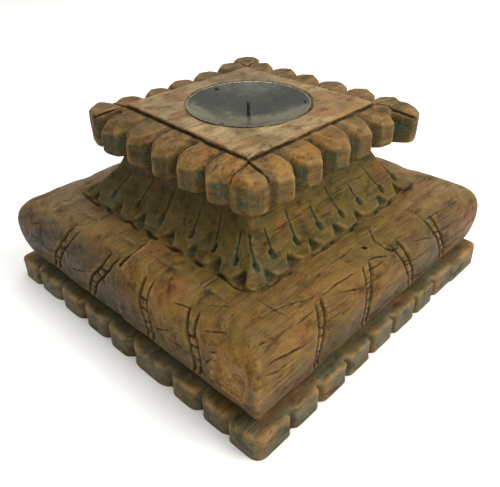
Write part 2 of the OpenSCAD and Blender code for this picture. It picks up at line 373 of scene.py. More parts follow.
for face, cuts in bead_vees.items():
    lean = -math.asin(BEAD_LEAN[face] / BEAD_REACH)
    places = [cuts[0] + CORNER_ROOM] + cuts[1:-1] + [cuts[-1] - CORNER_ROOM]
    for start, end in zip(places, places[1:]):
        reach = BEAD_TIP[face] + chance.uniform(-0.8, 0.6)
        add_bead(side_bead, face, reach, (start + end) / 2, end - start - BEAD_GAP, lean)
# The corner beads point along the diagonals. Each is given by its face, and its ridge's place out from
# the middle and along that face. The one in front is short, the one on the right long.
corner_beads = [("front", 76.2, 73.2), ("right", 85.5, 84.5), ("back", 83.5, 82.5), ("left", 84.5, 75.5)]
for face, out, along in corner_beads:
    add_bead(corner_bead, face, out, along, CORNER_BEAD_WIDTH, turn=math.pi / 4)

# ---- The block's worn skin --------------------------------------------------------------------
# The rough shapes are one piece of wood, so they are fused to one skin. It is worn smooth by
# handling, and sawn level underneath.
VOXEL = 1.32
block = join_all(rough, "block")
for master in (lobe_tooth, flat_tooth, side_bead, corner_bead, gouge):
    bpy.data.objects.remove(master)
only_select(block)
bpy.ops.object.modifier_add(type="REMESH")
block.modifiers[-1].mode = "VOXEL"
block.modifiers[-1].voxel_size = VOXEL * MM
bpy.ops.object.modifier_apply(modifier=block.modifiers[-1].name)
# the beads were handled less than the rest, so they stay crisper
handled = block.vertex_groups.new(name="handled")
handled.add([v.index for v in block.data.vertices if v.co.z < (BEAD_FOOT - 3) * MM], 1.0, "REPLACE")
for rounds, group in ((1, ""), (3, "handled")):
    bpy.ops.object.modifier_add(type="SMOOTH")
    block.modifiers[-1].factor = 0.5
    block.modifiers[-1].iterations = rounds
    block.modifiers[-1].vertex_group = group
    bpy.ops.object.modifier_apply(modifier=block.modifiers[-1].name)


def saw_off(piece, point, normal):
    """Cuts a piece by a plane, keeps the side against the normal, and closes the cut."""
    only_select(piece)
    bpy.ops.object.mode_set(mode="EDIT")
    bpy.ops.mesh.select_all(action="SELECT")
    bpy.ops.mesh.bisect(plane_co=point, plane_no=normal, use_fill=True, clear_outer=True)
    bpy.ops.object.mode_set(mode="OBJECT")


saw_off(block, (0, 0, 0), (0, 0, -1))

# ---- Cuts, cracks and wear --------------------------------------------------------------------
# What a fine chisel, years of drying and handling left on the block: the straps' double grooves
# and cross cuts, the petals' drilled dots and incised lines, the open seam, drying cracks along
# the grain, and rubbed edges. Each is a stroke: a line of points, a half width and a depth.
strokes = []


def cushion_half(height):
    """Half the cushion's width at a height."""
    heights = [z for _, z in cushion_outline]
    return float(np.interp(height, heights, [h for h, _ in cushion_outline]))


def face_point(face, out, along, height):
    """A place given out from the middle, along a face and up, as a place on the block."""
    sine, cosine = math.sin(FACE_TURN[face]), math.cos(FACE_TURN[face])
    return (out * cosine - along * sine, out * sine + along * cosine, height)


def stroke(points, width, depth, kind):
    """Notes a stroke: its points, half width, depth and kind. A crack thins out at its ends, a hole is
    dark right across, and all the other kinds are cuts, which kept some green paint."""
    strokes.append({"points": points, "width": width, "depth": depth, "kind": kind})


def along_line(points, step=3.0, sway=0.0, seed=0.0):
    """Fills a line of 3-D points to one point every step, with a little sway."""
    filled = []
    for start, end in zip(points, points[1:]):
        a, b = Vector(start), Vector(end)
        count = max(1, round((b - a).length / step))
        filled += [a.lerp(b, i / count) for i in range(count)]
    filled.append(Vector(points[-1]))
    return [p + noise.noise_vector(p / 9 + Vector((seed, 0, 0))) * sway for p in filled]


# Each strap: its middle at heights from top to bottom, and half the distance of its two grooves
STRAP_HEIGHTS = (68, 60, 52, 42, 33, 23)
STRAP_TAPER = 0.012  # how fast a strap's second groove nears its first, going down
straps = {
    "front": [((68, 70.5, 74, 76, 76, 72), 3.6), ((27, 28, 29, 31.5, 32, 29), 3.8),
              ((-10, -13, -18, -26, -31, -37), 4), ((-53, -58, -64, -71, -76, -83), 4)],
    "right": [((-63, -66, -68.5, -70, -70.5, -68), 2.8), ((-15.5, -19, -21, -22, -21, -18.5), 3.2),
              ((16, 19.5, 23, 29, 34, 39), 3.6), ((57, 61.5, 66, 72, 77.5, 82), 3.6)],
    "back": [((-66, -68, -71, -73, -74, -73), 3.6), ((-22, -24, -25, -24, -22, -20), 3.6),
             ((25, 27, 27, 24, 22, 19), 3.6), ((64, 67, 70, 74, 76, 79), 3.6)],
    "left": [((-70, -71, -70, -67, -66, -64), 3.6), ((-20, -23, -26, -28, -29, -28), 3.6),
             ((23, 22, 24, 27, 29, 33), 3.6), ((66, 68, 69, 69, 67, 64), 3.6)],
}
for face, face_straps in straps.items():
    for number, (middles, reach) in enumerate(face_straps):
        for side in (-1, 1):
            narrowing = STRAP_TAPER if side > 0 else 0
            line = [face_point(face, cushion_half(z),
                               u + side * reach * (1 - narrowing * (STRAP_HEIGHTS[0] - z)), z)
                    for u, z in zip(middles, STRAP_HEIGHTS)]
            stroke(along_line(line, sway=1.1, seed=number), 1.35, 2.0, "strap")
        for z in (56, 49, 40, 31):
            z += chance.uniform(-2, 2)
            u = float(np.interp(-z, [-h for h in STRAP_HEIGHTS], middles))
            ends = [face_point(face, cushion_half(z + tip), u + side * reach, z + tip)
                    for side, tip in ((-1, chance.uniform(-1.5, 1.5)), (1, chance.uniform(-1.5, 1.5)))]
            stroke(along_line(ends), 1.2, 1.3, "strap")

# Petals: a drilled dot low on each, with an incised line running up the flare
petal_lines = {
    "left": [-58, -34, -10, 12, 36, 60],
    "front": [-56, -30, -4, 25, 46, 65],
    "right": [-75, -60, -39, -16, 6, 27, 53, 72],
    "back": [-60, -35, -11, 12, 35, 59],
}
for face, places in petal_lines.items():
    for along in places:
        foot = CUSHION_TOP + PETAL_EDGE + chance.uniform(4.5, 6.5)
        dot = face_point(face, flare_half(foot), along, foot)
        dot_top = face_point(face, flare_half(foot + 1.5), along, foot + 1.5)
        stroke([Vector(dot), Vector(dot_top)], 2.5, 2.6, "dot")
        lean = chance.uniform(-2.5, 2.5)
        top = chance.uniform(90, 97)
        line = [face_point(face, flare_half(z), along * (1 - (z - foot) * 0.006) + lean * (z - foot) / 18, z)
                for z in np.linspace(foot + 1, top, 6)]
        stroke(along_line(line, sway=0.5), 0.95, 1.0, "petal")

# The open seam between the baulks, from the neck's foot down the front, and its tight back end
seam_front = [(-3, -64, 104), (-4, -68, 92), (-3, -76, 83), (-2, -87, 75), (-1, -96, 71.5), (0, -109, 70.5),
              (-3.5, -118, 66), (-1, -123, 58), (2.5, -125.3, 46), (0.5, -123.5, 31), (0, -121, 23)]
stroke(along_line(seam_front[:4], sway=0.8), 1.0, 1.1, "crack")
seam_split = [(-1, -95, 71.5), (0.5, -104, 71), (1.5, -113, 70.5), (0.5, -118.5, 67)]
stroke(along_line(seam_split, sway=0.3), 1.5, 4.2, "hole")
stroke(along_line(seam_front[5:], sway=0.6), 1.1, 1.4, "crack")
seam_back = [(0, 96, 71.3), (0.5, 112, 70), (1, 123, 58), (0, 125, 44), (0, 121, 23)]
stroke(along_line(seam_back, sway=0.6), 1.0, 1.2, "crack")

# The channel that frames the panel
CHANNEL_OUT, CHANNEL_Z = 1.013, 132.6    # it runs just outside the panel's edge
channel = [Vector((px * CHANNEL_OUT, py * CHANNEL_OUT, CHANNEL_Z))
           for px, py in panel_corners + panel_corners[:1]]
stroke(along_line(channel, sway=0.5), 1.15, 1.6, "channel")

# The clefts either side of each corner bead run out from the panel's corner to the bead's shoulders
for (face, out, along), (root_x, root_y) in zip(corner_beads, panel_corners[1:] + panel_corners[:1]):
    ridge = Vector(face_point(face, out, along, 0)) + TOP_SHIFT
    inward = -Vector((ridge.x, ridge.y, 0)).normalized()
    aside = inward.cross(Vector((0, 0, 1)))
    root = Vector((root_x * 1.02, root_y * 1.02, 132.8))
    for side in (-1, 1):
        shoulder = ridge + inward * 7 + aside * side * 11.3 + Vector((0, 0, 129 - BEAD_SLOPE[face] * 12))
        stroke(along_line([root, root.lerp(shoulder, 0.5), shoulder], sway=0.3), 1.1, 1.6, "cleft")

# The groove under the petals, where the neck was undercut from the cushion, with painted shadow along it
for face in FACE_TURN:
    start = -84
    while start < 78:
        length = chance.uniform(14, 40)
        line = [face_point(face, NECK_FOOT + 0.7, u, CUSHION_TOP + 0.4)
                for u in np.linspace(start, min(start + length, 85), 5)]
        stroke(along_line(line, sway=1.4, seed=start), 1.3, 1.9, "crack")
        start += length + chance.uniform(0, 6)

# Scribed layout lines and knife slips on the cushion's top, and drying cracks, face by face: places
# out, along and up, then half width, depth and kind
marks = [
    ("right", [(88, -88, 71), (102, -88, 71), (116, -86, 67)], 0.8, 0.9, "crack"),
    ("right", [(97, 14, 71), (106, 6, 71), (114, 6, 68), (118, 11, 66), (119, 18, 65)], 1.1, 1.2, "strap"),
    ("right", [(103, -101, 71), (103, -89, 71), (106, -79, 70), (110, -69, 70), (111, -60, 70)], 0.9, 1.0,
     "crack"),
    ("right", [(122, -117, 60), (123, -109, 60), (123, -98, 58), (124, -88, 56), (124, -79, 55)], 1.0, 1.3,
     "crack"),
    ("right", [(123, -121, 58), (124, -113, 55), (125, -103, 51)], 0.9, 1.0, "crack"),
    ("right", [(117, -52, 66), (119, -42, 64), (122, -27, 60)], 0.9, 1.1, "crack"),
    ("right", [(113, -14, 69), (115, -6, 68), (119, 8, 64)], 0.9, 1.0, "crack"),
    ("right", [(120, 30, 63), (122, 42, 60), (124, 56, 56)], 0.9, 1.0, "crack"),
    ("right", [(114, -113, 69), (115, -106, 68)], 0.8, 0.9, "crack"),
    ("right", [(100, -38, 71), (101, -20, 71), (101, -12, 71)], 0.7, 0.7, "crack"),
    ("front", [(125, 34, 39), (125, 46, 45), (124, 61, 54)], 0.8, 0.9, "crack"),
    ("front", [(121, 78, 62), (118, 88, 65), (115, 97, 67)], 0.8, 0.9, "crack"),
    ("front", [(111, 70, 70), (105, 80, 71), (99, 88, 71)], 0.8, 0.8, "crack"),
    ("front", [(125, -56, 39), (125, -40, 45), (125, -27, 51)], 0.9, 1.0, "crack"),
    ("front", [(103, 36, 71), (112, 42, 70), (116, 47, 67)], 0.8, 0.8, "crack"),
    ("front", [(97, -48, 71), (108, -52, 70.5), (115, -60, 68)], 0.8, 0.8, "crack"),
]
for face, line, width, depth, kind in marks:
    stroke(along_line([face_point(face, *point) for point in line], sway=0.7), width, depth, kind)
# short cracks along the grain, Y, on the long-grain faces and on the cushion's top
for face in ("right", "left"):
    for _ in range(26):
        z = chance.uniform(28, 70)
        start, length = chance.uniform(-112, 80), chance.uniform(8, 34)
        drift = chance.uniform(-0.06, 0.06)
        spots_along = [(t, min(max(z + drift * t, 23), 70)) for t in np.linspace(0, length, 4)]
        line = [face_point(face, cushion_half(h), start + t, h) for t, h in spots_along]
        stroke(along_line(line, sway=0.8), chance.uniform(0.7, 0.9), chance.uniform(0.5, 0.9), "crack")
    for _ in range(10):
        z = chance.uniform(82, 104)
        start, length = chance.uniform(-62, 40), chance.uniform(8, 26)
        line = [face_point(face, flare_half(z), start + t, z) for t in np.linspace(0, length, 3)]
        stroke(along_line(line, sway=0.6), 0.75, 0.6, "crack")
# checks in the end grain, which fan out from the heart of each baulk
for face in ("front", "back"):
    for _ in range(22):
        z, along = chance.uniform(30, 66), chance.uniform(-112, 112)
        way = math.radians(chance.gauss(8, 28))
        length = chance.uniform(5, 18)
        ends = [(along + t * math.cos(way), min(max(z + t * math.sin(way), 24), 69))
                for t in np.linspace(0, length, 4)]
        stroke(along_line([face_point(face, cushion_half(h), u, h) for u, h in ends], sway=1.0),
               chance.uniform(0.7, 0.9), chance.uniform(0.5, 0.9), "crack")
# the nail hole left in the right-hand shoulder
stroke([Vector((105.5, -5, 71)), Vector((106, -4.6, 71))], 1.7, 3.4, "hole")


def mesh_arrays(mesh):
    """A mesh's points, in millimetres, and their normals."""
    co = np.empty(len(mesh.vertices) * 3)
    mesh.vertices.foreach_get("co", co)
    normal = np.empty(len(mesh.vertices) * 3)
    mesh.vertices.foreach_get("normal", normal)
    return co.reshape(-1, 3) / MM, normal.reshape(-1, 3)


def line_distance(points, line, reach):
    """For points within reach of a line: their indices, distances to it, and places along it, 0 to 1."""
    bends = np.array([tuple(p) for p in line])
    low, high = bends.min(0) - reach, bends.max(0) + reach
    near = np.nonzero(np.all((points > low) & (points < high), axis=1))[0]
    best, place = np.full(len(near), 1e9), np.zeros(len(near))
    for number, (a, b) in enumerate(zip(bends, bends[1:])):
        span = b - a
        t = np.clip(((points[near] - a) @ span) / max(span @ span, 1e-9), 0, 1)
        gap = np.linalg.norm(points[near] - (a + t[:, None] * span), axis=1)
        place = np.where(gap < best, (number + t) / (len(bends) - 1), place)
        best = np.minimum(best, gap)
    keep = best < reach
    return near[keep], best[keep], place[keep]


# The strokes are laid on the skin, which is made finer beneath them.
skin = BVHTree.FromPolygons([v.co / MM for v in block.data.vertices],
                            [tuple(f.vertices) for f in block.data.polygons])
for mark in strokes:
    mark["points"] = [skin.find_nearest(p)[0] for p in mark["points"]]
centres = np.empty(len(block.data.polygons) * 3)
block.data.polygons.foreach_get("center", centres)
centres = centres.reshape(-1, 3) / MM
finer = np.zeros(len(centres), bool)
for mark in strokes:
    finer[line_distance(centres, mark["points"], mark["width"] + 0.5)[0]] = True
only_select(block)
bpy.ops.object.mode_set(mode="EDIT")
bpy.ops.mesh.select_mode(type="FACE")
bpy.ops.mesh.select_all(action="DESELECT")
bpy.ops.object.mode_set(mode="OBJECT")
block.data.polygons.foreach_set("select", finer)
bpy.ops.object.mode_set(mode="EDIT")
bpy.ops.mesh.subdivide(number_cuts=1)
bpy.ops.object.mode_set(mode="OBJECT")

co, normal = mesh_arrays(block.data)
count = len(co)


def between(values, low, high):
    """Rises smoothly from 0 at low to 1 at high."""
    t = np.clip((values - low) / (high - low), 0, 1)
    return t * t * (3 - 2 * t)


def wander(scale, seed, stretch=(1, 1, 1)):
    """Smooth noise over the block, one value a point; stretch lengthens it along an axis."""
    shift = Vector((seed * 13.7, seed * 5.1, seed * 9.3))
    places = co / (scale * np.array(stretch))
    return np.array([noise.noise(Vector(p) + shift) for p in places])


# how far each point of the skin is moved out; below nought is a cut
pull = np.zeros(count)
# hewn unevenness: broad waves, then shallow facets a gouge's width apart, and none on the underside
HEWN_DEPTH = 0.8
off_table = np.clip(co[:, 2] / 3, 0, 1)
hewn = 0.9 * wander(38, 1) + 0.45 * wander(13, 2) + 0.16 * wander(5, 3, (1, 2.5, 1))
pull -= np.abs(hewn) * off_table * HEWN_DEPTH

# the cushion is drawn in at its straps, and the right baulk stands proud of the left
STRAP_PINCH, PINCH_REACH = 2.2, 7
BAULK_STEP, STEP_REACH = 1.3, 30
on_cushion = (co[:, 2] > CUSHION_FOOT - 1) & (co[:, 2] < CUSHION_TOP + 1)
for face, face_straps in straps.items():
    turn = FACE_TURN[face]
    out = co[:, 0] * math.cos(turn) + co[:, 1] * math.sin(turn)
    along = -co[:, 0] * math.sin(turn) + co[:, 1] * math.cos(turn)
    on_face = on_cushion & (out > np.abs(along)) & (out > 100)
    pinch = np.zeros(count)
    for middles, reach in face_straps:
        strap_middle = np.interp(-co[:, 2], [-h for h in STRAP_HEIGHTS], middles)
        gap = np.abs(along - strap_middle) - reach
        pinch -= np.exp(-np.clip(gap, 0, None) / PINCH_REACH) * STRAP_PINCH
    pull += np.where(on_face, pinch, 0) * between(co[:, 2], 20, 30) * (1 - 0.5 * between(co[:, 2], 60, 70))
seam_x = np.interp(-co[:, 2], [-p[2] for p in seam_front], [p[0] for p in seam_front])
in_front = (co[:, 1] < -85) & (co[:, 2] > CUSHION_FOOT - 1)
step_down = BAULK_STEP * np.clip(1 - (seam_x - co[:, 0]) / STEP_REACH, 0, 1)
pull -= np.where(in_front & (co[:, 0] < seam_x), step_down, 0)

flaw = wander(4, 11)
groove = np.zeros(count)
line_green = np.zeros(count)
for mark in strokes:
    near, gap, place = line_distance(co, mark["points"], mark["width"] * 1.6)
    if not len(near):
        continue
    # cracks thin out to their ends and waver in depth; cut lines only run out at the very tip
    if mark["kind"] == "crack":
        strength = np.clip(np.sin(np.pi * place) * 1.3, 0.15, 1) * (0.85 + 0.5 * flaw[near])
    else:
        strength = np.clip(np.minimum(place, 1 - place) * 14 + 0.5, 0, 1) * (1 + 0.35 * flaw[near])
    if mark["kind"] in ("dot", "channel", "cleft", "hole"):
        strength = 1 + 0.2 * flaw[near]
    width = mark["width"] * (0.5 + 0.5 * np.clip(strength, 0, 1.2))
    fall = np.clip(1 - (gap / width) ** 1.4, 0, 1)
    pull[near] -= mark["depth"] * fall * strength
    # stain is how strongly a line is painted dark, for dirt and for painted shade in the cut, and how much
    # green paint it holds
    stain = np.clip(1.2 - gap / width, 0, 1) * np.clip(strength, 0, 1)
    if mark["kind"] == "hole":
        stain = np.clip((1.1 - gap / width) * 4, 0, 1)
    groove[near] = np.maximum(groove[near], stain)
    if mark["kind"] in ("strap", "dot", "petal", "channel", "cleft"):
        line_green[near] = np.maximum(line_green[near], stain)
co += normal * pull[:, None]
# a flat chopped with a chisel near the front corner of the end-grain face
CHIP_X, CHIP_Z, CHIP_HALF, CHIP_Y = 102.5, 43, 12.5, -122.2
across = np.abs(co[:, 0] - CHIP_X + (co[:, 2] - CHIP_Z) * -0.12) / CHIP_HALF
chopped = (co[:, 1] < -100) & (across < 1.3) & (co[:, 2] > 28) & (co[:, 2] < 60)
flat = CHIP_Y - np.clip(across - 0.8, 0, 1) * 9
flat -= (np.clip(co[:, 2] - 55, 0, 9) + np.clip(33 - co[:, 2], 0, 9)) * 0.8
flat += np.sin(co[:, 0] * 2.4) * 0.08
in_chip = np.where(chopped & (co[:, 1] < flat), 1.0, 0.0)
co[chopped, 1] = np.maximum(co[chopped, 1], flat[chopped])
block.data.vertices.foreach_set("co", (co * MM).ravel())
block.data.update()

# Where the skin is hollow or proud: the hollows get painted shade and dirt, hands rub the proud parts. The
# first of each pair is the fine shape, against a skin eased a little, and the second the broad shape, against
# one eased a lot.
ends = np.empty(len(block.data.edges) * 2, int)
block.data.edges.foreach_get("vertices", ends)
ends = ends.reshape(-1, 2)
neighbours = np.maximum(np.bincount(ends.ravel(), minlength=count), 1)


def relaxed(points, times):
    """The skin's points, each moved towards its neighbours' middle a number of times."""
    for _ in range(times):
        sums = [np.bincount(ends[:, 0], points[ends[:, 1], axis], count)
                + np.bincount(ends[:, 1], points[ends[:, 0], axis], count) for axis in range(3)]
        total = np.stack(sums, axis=1)
        points = points * 0.4 + total / neighbours[:, None] * 0.6
    return points


co, normal = mesh_arrays(block.data)
near_skin = relaxed(co, 8)
far_skin = relaxed(near_skin, 50)
sunk = np.einsum("ij,ij->i", near_skin - co, normal)
sunk_wide = np.einsum("ij,ij->i", far_skin - co, normal)
hollow = np.clip(sunk / 0.35, 0, 1) * 0.6 + np.clip((sunk_wide - 0.5) / 2.2, 0, 1) * 0.7
rubbed = np.clip((-sunk - 0.09) / 0.4, 0, 1) * 0.6 + np.clip((-sunk_wide - 0.8) / 2.5, 0, 1) * 0.35
rubbed *= 1 - between(groove, 0, 0.4)

# ---- Colour of the old timber -----------------------------------------------------------------
# Weathered, waxed softwood: brown where it was handled, greyer where it stood to the wall, with
# what is left of a green paint in the hollows. The tint is laid tier by tier and face by face.
def colour(red, green, blue):
    """A colour given as 0 to 255 screen values, as the linear light that shaders take."""
    return np.array([(c / 255 / 12.92) if c <= 10 else ((c / 255 + 0.055) / 1.055) ** 2.4
                     for c in (red, green, blue)])


PANEL_TINT = colour(145, 125, 88)
BEAD_TINT = colour(107, 83, 46)
NECK_TINT = colour(92, 75, 19)
CUSHION_TINT = colour(110, 83, 37)
OCHRE = colour(140, 104, 42)
OLIVE = colour(96, 81, 34)
GREYED = colour(92, 77, 52)
PLUM = colour(86, 72, 52)
DUSTY = colour(128, 110, 77)
RUSSET = colour(112, 70, 30)
PLINTH_TINT = colour(91, 86, 62)


def laid_over(under, tint, amount):
    """One tint laid over what is there, by an amount from 0 to 1 at each point."""
    amount = np.clip(amount, 0, 1)[:, None]
    return under * (1 - amount) + np.asarray(tint) * amount


x, y, z = co.T
tint = np.tile(CUSHION_TINT, (count, 1))
patches, blotches, flecks = wander(45, 4), wander(17, 5), wander(6, 6)
faces_right = between(normal[:, 0], 0.3, 0.9) * between(z, 20, 26)
faces_front = between(-normal[:, 1], 0.3, 0.9)
tint = laid_over(tint, OCHRE, faces_right * (0.8 + patches - between(y, -40, 60) * 0.5))
tint = laid_over(tint, OCHRE, faces_front * between(x, 0, 30) * between(z, 45, 60) * 0.7)
tint = laid_over(tint, GREYED, faces_front * between(-x, -20, 25) * (0.75 + patches))
tint = laid_over(tint, DUSTY, between(-x, 20, 110) * between(normal[:, 2], 0.5, 0.95) * (0.95 + blotches))
tint = laid_over(tint, DUSTY, between(y, 30, 110) * between(normal[:, 2], 0.4, 0.9) * (0.6 + blotches * 0.8))
tint = laid_over(tint, GREYED, between(y, -30, 80) * faces_right * (0.45 + blotches))
tint = laid_over(tint, PLUM, between(BELLY + 1 + 9 * blotches - z, -4, 10)
                 * (1 - between(normal[:, 2], 0.4, 0.8)) * 0.75)
tint = laid_over(tint, NECK_TINT, between(z, CUSHION_TOP - 0.5, CUSHION_TOP + 2) * (1 - between(z, 104, 108)))
tint = laid_over(tint, BEAD_TINT, between(z, 104, 108))
tint = laid_over(tint, OCHRE, between(z, 104, 108) * between(x - y, 20, 110) * (0.45 + blotches))
tint = laid_over(tint, PLINTH_TINT, 1 - between(z, 17, 21))
in_panel = np.ones(count, bool)
for (ax, ay), (bx, by) in zip(panel_corners, panel_corners[1:] + panel_corners[:1]):
    in_panel &= (bx - ax) * (y - ay) - (by - ay) * (x - ax) > 0
tint = laid_over(tint, PANEL_TINT, between(z, 131.5, 134) * in_panel)
tint = laid_over(tint, RUSSET, between(blotches + patches * 0.6, 0.12, 0.5) * 0.6)
tint = laid_over(tint, OLIVE, between(wander(24, 8), 0.05, 0.4) * 0.55)
tint *= (1 + 0.24 * flecks + 0.2 * patches + 0.15 * blotches)[:, None]
# Painted shade darkens some stretches: under the beads and on them at the front left, low on the front
# of the cushion, and along its right face. The plinth's front left is painted paler, as painted light.
painted_light_and_shade = 0.3 * faces_front * between(z, 70, 76) * (1 - between(z, 104, 108)) * between(-x, -55, -15)
painted_light_and_shade += 0.3 * faces_front * between(z, 104, 108) * between(-x, -50, 10)
painted_light_and_shade += 0.3 * faces_front * between(z, 24, 34) * (1 - between(z, 56, 66)) * between(-x, -60, -20)
painted_light_and_shade += 0.36 * faces_right * between(y, -98, -60) * (1 - between(z, 66, 72)) * (1 - between(y, 75, 110))
painted_light_and_shade -= 0.3 * between(-x, 30, 90) * faces_front * (1 - between(z, 17, 21))
tint *= 1 - painted_light_and_shade[:, None] * np.array([1, 1, 1.15])
# the left baulk is a shade greyer than the right one
on_left = between(seam_x - x, 0, 2)
tint *= 1 - 0.1 * on_left[:, None] * np.array([1, 1, 0.7])
tint = laid_over(tint, colour(150, 113, 56), in_chip)

# Old green paint: in the petals' notches and lines, the straps, between the beads and under them
in_tier = between(z, 103, 110)
on_neck = between(z, CUSHION_TOP - 1, CUSHION_TOP + 3) * (1 - in_tier)
green = line_green * (0.35 + 0.65 * on_neck)
green += hollow * (0.25 + 0.55 * on_neck + 0.5 * in_tier)
green += on_neck * between(86 - z, -4, 12) * (0.25 + blotches) * 0.8
green += in_tier * between(-normal[:, 2], -0.2, 0.7) * (0.2 + 0.6 * (blotches > 0))
# the bead flanks turned to the front corner, and some at the back, kept their paint
flank = between(normal @ np.array([0.707, -0.707, 0]), 0.8, 0.92) * between(125.5 - z, 0, 2)
flank += between(normal @ np.array([-0.707, 0.707, 0]), 0.82, 0.93) * between(wander(11, 9), -0.1, 0.2)
green += in_tier * flank * (0.8 + 0.9 * blotches)
green *= 1 - between(z, 131, 134) * in_panel
green *= 0.75 + 0.8 * blotches + 0.5 * flecks
# the right side of the plinth has been handled bare
green *= 1 - 0.65 * faces_right * (1 - between(z, 17, 21))
masks = {"hollow": hollow, "rubbed": rubbed, "cut": groove, "paint": green}
for name, values in masks.items():
    layer = block.data.attributes.new(name, "FLOAT", "POINT")
    layer.data.foreach_set("value", np.clip(values, 0, 1).astype(np.float32))
layer = block.data.attributes.new("tint", "FLOAT_COLOR", "POINT")
layer.data.foreach_set("color", np.c_[np.clip(tint, 0, 1), np.ones(count)].astype(np.float32).ravel())


def lay(tree, kind, inputs=(), **settings):
    """Adds a node. Inputs are (socket, value or another node's output) pairs."""
    made = tree.nodes.new(kind)
    for key, value in settings.items():
        setattr(made, key, value)
    for key, value in inputs:
        if isinstance(value, bpy.types.NodeSocket):
            tree.links.new(value, made.inputs[key])
        else:
            made.inputs[key].default_value = value
    return made


def spots(tree, place, stretch, detail=3, rough=0.6, twist=0.0):
    """Noise on object coordinates, with its features' size per metre along each axis."""
    sized = lay(tree, "ShaderNodeMapping", [(0, place), ("Scale", stretch)]).outputs[0]
    return lay(tree, "ShaderNodeTexNoise", [("Vector", sized), ("Scale", 1.0), ("Detail", detail),
                                            ("Roughness", rough), ("Distortion", twist)]).outputs["Fac"]


def step(tree, value, low, high, to_low=0.0, to_high=1.0):
    """Turns low to high, smoothly, into to_low to to_high."""
    return lay(tree, "ShaderNodeMapRange", [("Value", value), ("From Min", low), ("From Max", high),
                                            ("To Min", to_low), ("To Max", to_high)],
               interpolation_type="SMOOTHSTEP").outputs[0]


def maths(tree, kind, a, b):
    return lay(tree, "ShaderNodeMath", [(0, a), (1, b)], operation=kind).outputs[0]


def times(tree, a, b):
    return maths(tree, "MULTIPLY", a, b)


def coat(tree, amount, under, over, way="MIX"):
    """Lays one colour over another by an amount from 0 to 1."""
    return lay(tree, "ShaderNodeMix", [(0, amount), (6, under), (7, over)], data_type="RGBA",
               blend_type=way).outputs[2]


def roughen(tree, shader, height, strength, depth):
    """Fine relief in the finish, depth metres deep."""
    bump = lay(tree, "ShaderNodeBump", [("Height", height), ("Strength", strength), ("Distance", depth)])
    tree.links.new(bump.outputs[0], shader.inputs["Normal"])


def new_finish(name):
    """A new material, with its nodes, the place on the piece and the shader."""
    finish = bpy.data.materials.new(name)
    finish.use_nodes = True
    tree = finish.node_tree
    place = lay(tree, "ShaderNodeTexCoord").outputs["Object"]
    return finish, tree, place, tree.nodes["Principled BSDF"]


def opaque(rgb):
    """A colour as a shader takes it, with no see-through."""
    return (*[float(c) for c in rgb], 1)


timber, tree, place, shader = new_finish("weathered_timber")


def painted_on(name):
    """One of the masks that the carving left on the block's points."""
    return lay(tree, "ShaderNodeAttribute", attribute_name=name).outputs["Fac"]


base = lay(tree, "ShaderNodeAttribute", attribute_name="tint").outputs["Color"]
hollow_shade_and_dirt, rubbed_mask, cut_mask, paint_mask = (painted_on(n) for n in ("hollow", "rubbed", "cut", "paint"))
# growth rings about a heart below the block, long along Y, and the fibres between them
heart = lay(tree, "ShaderNodeMapping", [(0, place), ("Location", (0.03, 0, 0.09))]).outputs[0]
rings = lay(tree, "ShaderNodeTexWave", [("Vector", heart), ("Scale", 55), ("Distortion", 5), ("Detail", 3),
                                        ("Detail Scale", 0.6), ("Detail Roughness", 0.6)],
            wave_type="RINGS", rings_direction="Y").outputs["Fac"]
streaks = spots(tree, place, (260, 20, 260), detail=5, rough=0.7, twist=0.3)
fibres = spots(tree, place, (1200, 60, 1200), detail=4, rough=0.75)
grime = spots(tree, place, (110, 60, 110), detail=7, rough=0.75)
pores = spots(tree, place, (1500, 500, 1500), detail=2)
# Each coat over the tint: its pattern, where in the pattern it starts and is full, how strong it is at
# those two, and what it does to the wood
shade = base
for pattern, start, full, weak, strong, stain in (
        (rings, 0.2, 0.9, 0, 0.3, (0.55, 0.5, 0.45, 1)),
        (streaks, 0.6, 0.35, 0, 0.26, (0.5, 0.44, 0.38, 1)),
        (streaks, 0.5, 0.72, 0, 0.14, (1.5, 1.42, 1.25, 1)),
        (fibres, 0.38, 0.5, 0.6, 0, (0.5, 0.44, 0.38, 1)),
        (fibres, 0.55, 0.68, 0, 0.5, (1.5, 1.42, 1.3, 1)),
        (grime, 0.53, 0.63, 0, 0.75, (0.42, 0.37, 0.32, 1)),
        (pores, 0.57, 0.66, 0, 0.7, (0.45, 0.4, 0.35, 1))):
    shade = coat(tree, step(tree, pattern, start, full, weak, strong), shade, stain, "MULTIPLY")
# dark and pale lines run down the upright faces of the beads
drips = spots(tree, place, (800, 800, 45), detail=3, rough=0.7)
on_beads = step(tree, lay(tree, "ShaderNodeSeparateXYZ", [(0, place)]).outputs["Z"], 0.103, 0.106)
shade = coat(tree, times(tree, on_beads, step(tree, drips, 0.54, 0.64, 0, 0.5)), shade,
             (0.5, 0.4, 0.34, 1), "MULTIPLY")
shade = coat(tree, times(tree, on_beads, step(tree, drips, 0.46, 0.38, 0, 0.4)), shade,
             (1.5, 1.45, 1.2, 1), "MULTIPLY")
# rubbed edges are paler; the hollows are darkened with painted shade and dirt
shade = coat(tree, times(tree, rubbed_mask, step(tree, grime, 0.6, 0.4, 0.25, 0.9)), shade,
             opaque(colour(150, 118, 72)))
shade = coat(tree, times(tree, hollow_shade_and_dirt, 0.75), shade, (0.3, 0.25, 0.19, 1), "MULTIPLY")
# hairline drying cracks run with the grain
split_field = spots(tree, place, (210, 7, 210), detail=2, rough=0.5, twist=0.6)
split_line = step(tree, lay(tree, "ShaderNodeMath", [(0, maths(tree, "SUBTRACT", split_field, 0.5))],
                            operation="ABSOLUTE").outputs[0], 0.0, 0.012, 1, 0)
split_places = step(tree, spots(tree, place, (60, 22, 60), detail=2), 0.5, 0.62)
split_line = times(tree, split_line, split_places)
shade = coat(tree, times(tree, split_line, 0.8), shade, opaque(colour(40, 26, 14)))
